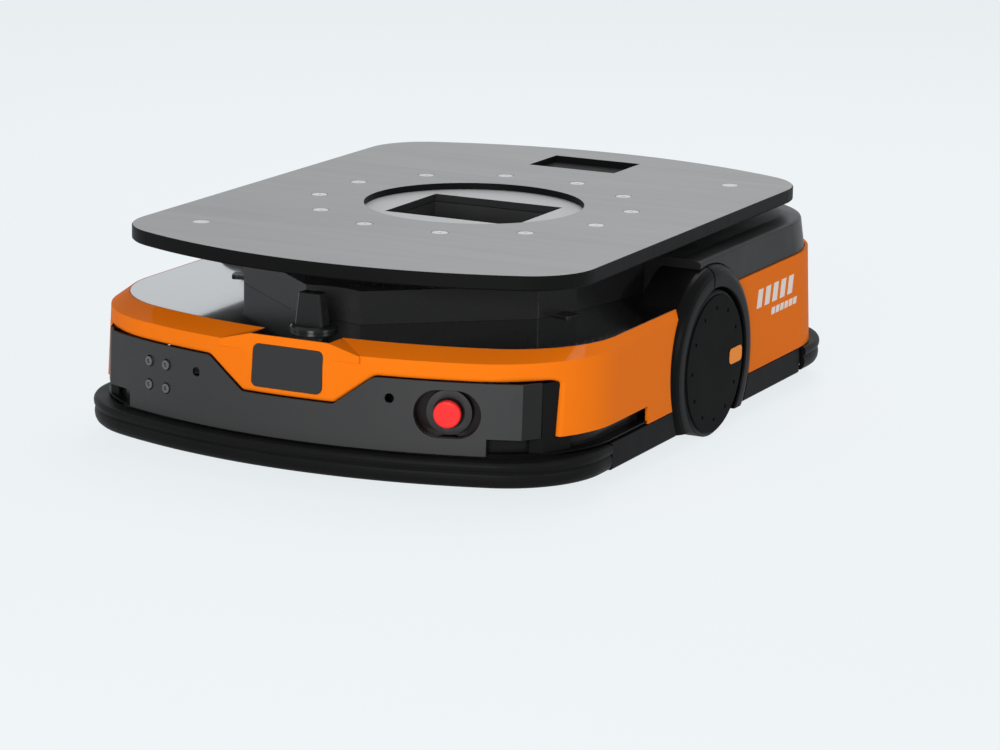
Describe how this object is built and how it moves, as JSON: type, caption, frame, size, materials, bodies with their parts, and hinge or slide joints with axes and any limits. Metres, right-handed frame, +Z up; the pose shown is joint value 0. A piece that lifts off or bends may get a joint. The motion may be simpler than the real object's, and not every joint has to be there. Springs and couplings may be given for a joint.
{
  "type": "autonomous mobile robot",
  "caption": "Low under-ride autonomous mobile robot with lifting turntable plate, drive wheels, casters, sprung bumpers and stop button.",
  "frame": {"origin": "on the floor under the middle of the robot", "axes": "+Z up, front of the robot towards -Y, +X towards the robot's left-hand drive wheel seen from its back"},
  "size_m": [0.65, 0.95, 0.25],
  "materials": {
    "orange_shell": "smooth satin-gloss orange",
    "black_cover": "glossy black",
    "dark_cover": "satin black",
    "arch_black": "satin black",
    "panel_grey": "matte charcoal",
    "window_grey": "smoked, smooth",
    "bumper_rubber": "matte black",
    "wheel_black": "satin black",
    "tyre_black": "matte black",
    "plate_metal": "fine brushed grey",
    "frame_metal": "cast and machined",
    "steel": "ground steel",
    "black_steel": "black powder coat",
    "contact_metal": "turned",
    "button_red": "smooth red",
    "marker_orange": "smooth orange",
    "device_black": "fine textured"
  },
  "bodies": {
    "chassis": {"base_plate": "black_steel", "battery_pack": "device_black", "bumper_guides": "steel", "camera_well": "black_steel", "camera_window": "window_grey", "caster_towers": "black_steel", "charge_contacts": "contact_metal", "control_box": "device_black", "drive_unit_left": "device_black", "drive_unit_right": "device_black", "estop_collar": "panel_grey", "front_body_shell": "orange_shell", "front_deck": "black_cover", "front_housing": "black_cover", "front_panel": "panel_grey", "front_side_skirt_left": "dark_cover", "front_side_skirt_right": "dark_cover", "front_wheel_arch_left": "arch_black", "front_wheel_arch_right": "arch_black", "jack_housings": "frame_metal", "rear_body_shell": "orange_shell", "rear_panel": "panel_grey", "rear_side_skirt_left": "dark_cover", "rear_side_skirt_right": "dark_cover", "rear_top_cover": "dark_cover", "rear_wheel_arch_left": "arch_black", "rear_wheel_arch_right": "arch_black", "scanner_bezels": "arch_black", "scanner_windows": "window_grey", "sensor_tower": "panel_grey", "upward_camera": "device_black"},
    "lift_stage": {"lift_frame": "frame_metal", "lift_columns": "steel", "slewing_inner_ring": "steel", "rotation_motor": "device_black"},
    "turntable": {"load_plate": "plate_metal", "turntable_flange": "frame_metal", "slewing_gear": "steel", "plate_screws": "frame_metal", "locating_studs": "frame_metal"},
    "pinion": {"rotation_pinion": "steel"},
    "front_bumper_unit": {"front_bumper": "bumper_rubber", "front_bumper_bar": "steel"},
    "rear_bumper_unit": {"rear_bumper": "bumper_rubber", "rear_bumper_bar": "steel"},
    "stop_button": {"estop_button": "button_red"},
    "drive_wheel_left": {"drive_tyre_left": "tyre_black", "drive_hub_left": "wheel_black", "wheel_marker_left": "marker_orange"},
    "drive_wheel_right": {"drive_tyre_right": "tyre_black", "drive_hub_right": "wheel_black", "wheel_marker_right": "marker_orange"},
    "caster_swivel_front_left": {"caster_fork_front_left": "steel"},
    "caster_roller_front_left": {"caster_wheel_front_left": "tyre_black"},
    "caster_swivel_front_right": {"caster_fork_front_right": "steel"},
    "caster_roller_front_right": {"caster_wheel_front_right": "tyre_black"},
    "caster_swivel_rear_left": {"caster_fork_rear_left": "steel"},
    "caster_roller_rear_left": {"caster_wheel_rear_left": "tyre_black"},
    "caster_swivel_rear_right": {"caster_fork_rear_right": "steel"},
    "caster_roller_rear_right": {"caster_wheel_rear_right": "tyre_black"}
  },
  "joints": [
    {"name": "lift", "type": "slide", "parent": "chassis", "child": "lift_stage", "axis": [0, 0, 1], "range_m": [0, 0.06]},
    {"name": "turntable_turn", "type": "hinge", "parent": "lift_stage", "child": "turntable", "pos_m": [0, 0, 0.227], "axis": [0, 0, 1], "continuous": true},
    {"name": "pinion_turn", "type": "hinge", "parent": "lift_stage", "child": "pinion", "pos_m": [0, 0.24, 0.227], "axis": [0, 0, 1], "continuous": true},
    {"name": "front_bumper_push", "type": "slide", "parent": "chassis", "child": "front_bumper_unit", "axis": [0, 1, 0], "range_m": [0, 0.005], "stiffness_N_per_m": 2000},
    {"name": "rear_bumper_push", "type": "slide", "parent": "chassis", "child": "rear_bumper_unit", "axis": [0, -1, 0], "range_m": [0, 0.005], "stiffness_N_per_m": 2000},
    {"name": "stop_button_press", "type": "slide", "parent": "chassis", "child": "stop_button", "axis": [-0.2915, 0.9566, 0], "range_m": [0, 0.004], "stiffness_N_per_m": 800},
    {"name": "drive_wheel_left_turn", "type": "hinge", "parent": "chassis", "child": "drive_wheel_left", "pos_m": [-0.3, 0, 0.088], "axis": [1, 0, 0], "continuous": true},
    {"name": "drive_wheel_right_turn", "type": "hinge", "parent": "chassis", "child": "drive_wheel_right", "pos_m": [0.3, 0, 0.088], "axis": [1, 0, 0], "continuous": true},
    {"name": "caster_swivel_front_left_turn", "type": "hinge", "parent": "chassis", "child": "caster_swivel_front_left", "pos_m": [-0.195, -0.315, 0.09], "axis": [0, 0, 1], "continuous": true},
    {"name": "caster_wheel_front_left_turn", "type": "hinge", "parent": "caster_swivel_front_left", "child": "caster_roller_front_left", "pos_m": [-0.195, -0.287, 0.0375], "axis": [1, 0, 0], "continuous": true},
    {"name": "caster_swivel_front_right_turn", "type": "hinge", "parent": "chassis", "child": "caster_swivel_front_right", "pos_m": [0.195, -0.315, 0.09], "axis": [0, 0, 1], "continuous": true},
    {"name": "caster_wheel_front_right_turn", "type": "hinge", "parent": "caster_swivel_front_right", "child": "caster_roller_front_right", "pos_m": [0.195, -0.287, 0.0375], "axis": [1, 0, 0], "continuous": true},
    {"name": "caster_swivel_rear_left_turn", "type": "hinge", "parent": "chassis", "child": "caster_swivel_rear_left", "pos_m": [-0.195, 0.315, 0.09], "axis": [0, 0, 1], "continuous": true},
    {"name": "caster_wheel_rear_left_turn", "type": "hinge", "parent": "caster_swivel_rear_left", "child": "caster_roller_rear_left", "pos_m": [-0.195, 0.343, 0.0375], "axis": [1, 0, 0], "continuous": true},
    {"name": "caster_swivel_rear_right_turn", "type": "hinge", "parent": "chassis", "child": "caster_swivel_rear_right", "pos_m": [0.195, 0.315, 0.09], "axis": [0, 0, 1], "continuous": true},
    {"name": "caster_wheel_rear_right_turn", "type": "hinge", "parent": "caster_swivel_rear_right", "child": "caster_roller_rear_right", "pos_m": [0.195, 0.343, 0.0375], "axis": [1, 0, 0], "continuous": true}
  ],
  "couplings": [
    {"joint": "pinion_turn", "follows": "turntable_turn", "ratio": -5.6667}
  ]
}
